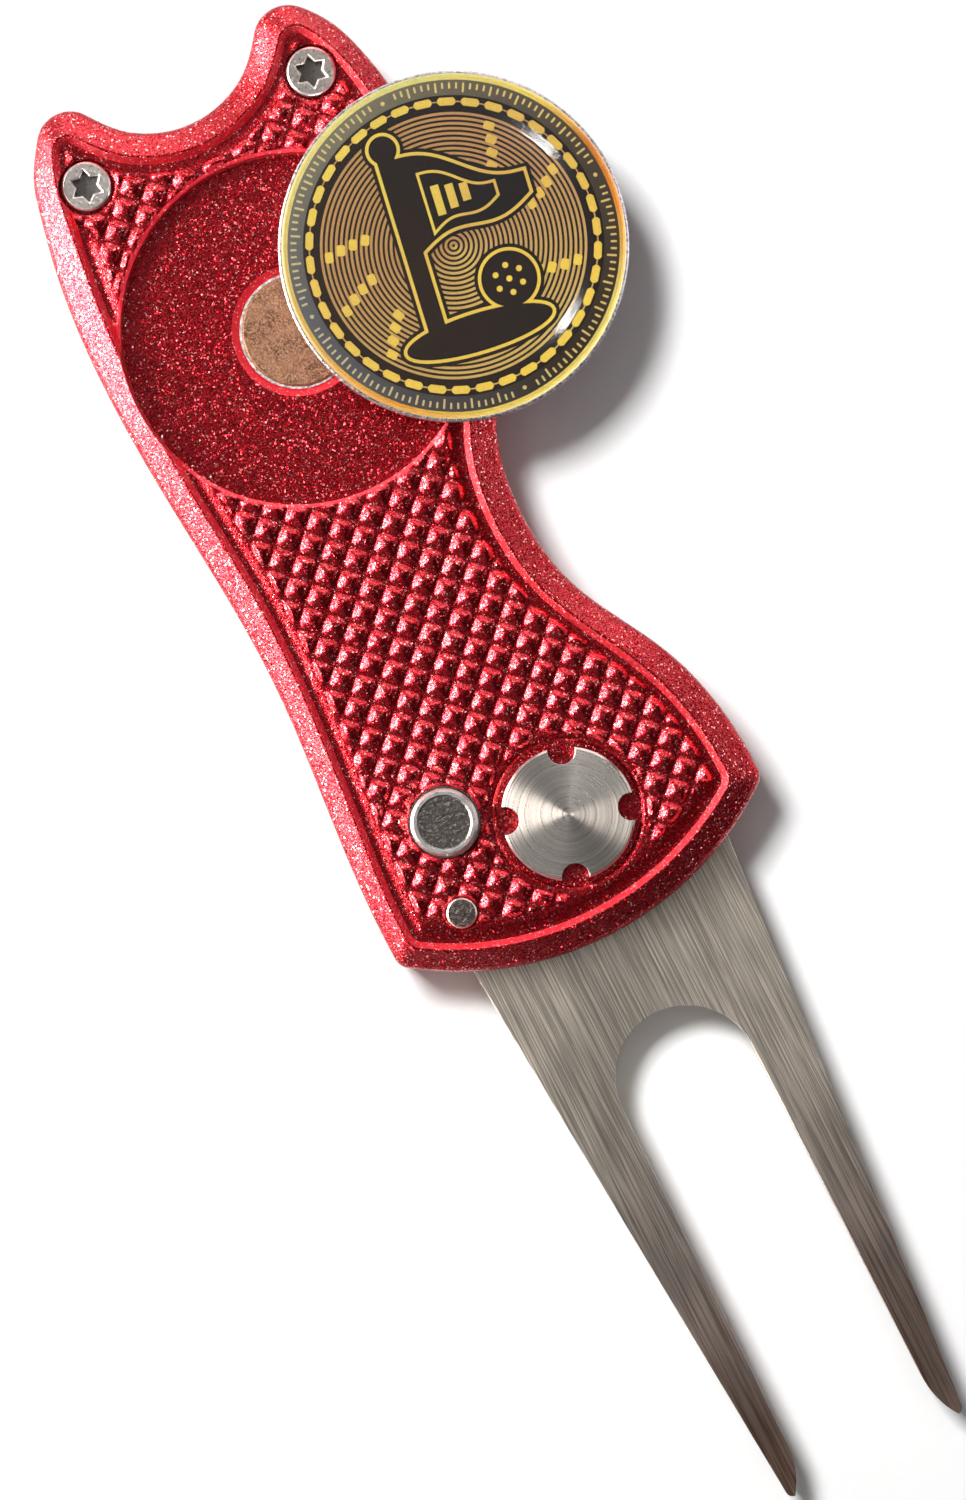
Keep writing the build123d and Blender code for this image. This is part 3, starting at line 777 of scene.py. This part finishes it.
floor_mesh = bpy.data.meshes.new("studio_floor")
FLOOR_REACH, FLOOR_Z = 3.0, -0.02 * MM
floor_corners = [(-1, -1), (1, -1), (1, 1), (-1, 1)]
floor_mesh.from_pydata(
    [(x * FLOOR_REACH, y * FLOOR_REACH, FLOOR_Z) for x, y in floor_corners], [], [(0, 1, 2, 3)])
floor_mesh.materials.append(paper_finish())
studio_floor = bpy.data.objects.new("studio_floor", floor_mesh)
bpy.context.scene.collection.objects.link(studio_floor)

camera = bpy.data.objects.new("camera", bpy.data.cameras.new("camera"))
camera.data.lens = CAMERA_LENS
camera.data.sensor_width = 36
camera.data.clip_start = 0.01
camera.location = (*CAMERA_AT, CAMERA_HEIGHT)
camera.rotation_euler = (0, 0, CAMERA_TURN)
bpy.context.scene.collection.objects.link(camera)
bpy.context.scene.camera = camera


def in_picture(right, up, height):
    """A direction given along the picture's right and up and out of the floor, in the tool's frame."""
    return Matrix.Rotation(CAMERA_TURN, 3, "Z") @ Vector((right, up, height))


def softbox(name, towards, distance, size, watts, mirrored=True, lighting=True, colour=(1, 1, 1)):
    """A lamp in a direction from the object's middle, facing it. Gloss reflects it if mirrored, and
    matt surfaces catch it if lighting. The dome's shadow rays already let lamps through to the
    print, so they are hidden from its transmission rays, which would light the print twice."""
    lamp = bpy.data.lights.new(name, "AREA")
    lamp.shape = "RECTANGLE"
    lamp.size, lamp.size_y = size
    lamp.energy = watts
    lamp.color = colour
    made = bpy.data.objects.new(name, lamp)
    away = in_picture(*towards).normalized()
    made.location = Vector((*CAMERA_AT, 0)) + away * distance
    made.rotation_euler = away.to_track_quat("Z", "Y").to_euler()
    made.visible_glossy = mirrored
    made.visible_diffuse = lighting
    made.visible_transmission = False
    made.visible_camera = False
    bpy.context.scene.collection.objects.link(made)


softbox("key", (-0.33, 0.36, 1.0), 0.75, (0.17, 0.17), 6.2, mirrored=False)
softbox("fill", (0.0, 0.0, 1.0), 1.1, (1.2, 1.2), 2.9, mirrored=False)
softbox(
    "left_box", (-1.0, 0.02, 0.46), 0.60, (0.50, 0.46), 23.0,
    lighting=False, colour=(1.0, 0.965, 0.92))
softbox("top_box", (0.10, 1.0, 0.36), 0.70, (0.80, 0.40), 3.3, lighting=False)
softbox("right_box", (1.0, 0.25, 0.18), 0.70, (0.60, 0.24), 1.4, lighting=False)
softbox("upper_glint", (0.076, 0.262, 1.0), 0.80, (0.030, 0.012), 0.055, lighting=False)
softbox("lower_glint", (0.118, 0.08, 1.0), 0.80, (0.012, 0.030), 0.055, lighting=False)

# The room is bright towards the picture's left and low down, and dark towards its right and
# overhead. Gloss reflects it, and it doesn't light matt surfaces.
world = bpy.data.worlds.new("studio")
bpy.context.scene.world = world
world.use_nodes = True
sky = world.node_tree
place = sky.nodes.new("ShaderNodeTexCoord").outputs["Generated"]
shade = sky.nodes.new("ShaderNodeVectorMath")
shade.operation = "DOT_PRODUCT"
sky.links.new(place, shade.inputs[0])
shade.inputs[1].default_value = in_picture(-0.76, 0.34, -0.55)
spread = sky.nodes.new("ShaderNodeMapRange")
sky.links.new(shade.outputs["Value"], spread.inputs["Value"])
for key, value in {"From Min": -1.0, "From Max": 1.0, "To Min": 0.0, "To Max": 1.0}.items():
    spread.inputs[key].default_value = value
tones = sky.nodes.new("ShaderNodeValToRGB")
sky.links.new(spread.outputs[0], tones.inputs["Fac"])
steps = tones.color_ramp.elements
steps[0].position, steps[0].color = 0.12, (0.07, 0.07, 0.07, 1)
steps[1].position, steps[1].color = 0.85, (1.0, 1.0, 1.0, 1)
sky.links.new(tones.outputs["Color"], sky.nodes["Background"].inputs["Color"])
sky.nodes["Background"].inputs["Strength"].default_value = 1.0
world.cycles_visibility.diffuse = False

bpy.context.scene.view_settings.view_transform = "Standard"
